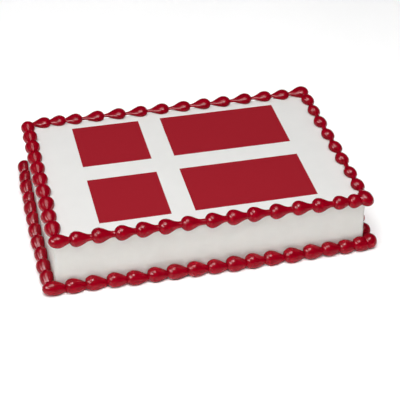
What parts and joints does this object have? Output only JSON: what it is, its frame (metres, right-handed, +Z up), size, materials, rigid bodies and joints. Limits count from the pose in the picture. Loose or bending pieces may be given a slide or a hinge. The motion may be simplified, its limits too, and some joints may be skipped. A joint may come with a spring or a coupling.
{
  "type": "flag cake",
  "caption": "Rectangular iced sheet cake with a red and white cross flag printed on its top, edged above and at its foot by piped red icing beads.",
  "frame": {"origin": "middle of the flat underside, at the level that the cake stands on", "axes": "+X to the right along the long side, from the flag's hoist to its fly; +Y to the back; +Z up"},
  "size_m": [0.3427, 0.2308, 0.0667],
  "materials": {
    "white_icing": "smooth white icing, softly matte",
    "icing_sheet": "matte edible sheet",
    "red_print": "matte dark red print",
    "red_icing": "glossy deep red piped icing"
  },
  "bodies": {
    "root": {"cake_body": "white_icing", "icing_sheet": "icing_sheet", "red_field_hoist_front": "red_print", "red_field_hoist_back": "red_print", "red_field_fly_front": "red_print", "red_field_fly_back": "red_print", "top_border_front": "red_icing", "top_border_right": "red_icing", "top_border_back": "red_icing", "top_border_left": "red_icing", "bottom_border_front": "red_icing", "bottom_border_right": "red_icing", "bottom_border_back": "red_icing", "bottom_border_left": "red_icing"}
  },
  "joints": []
}
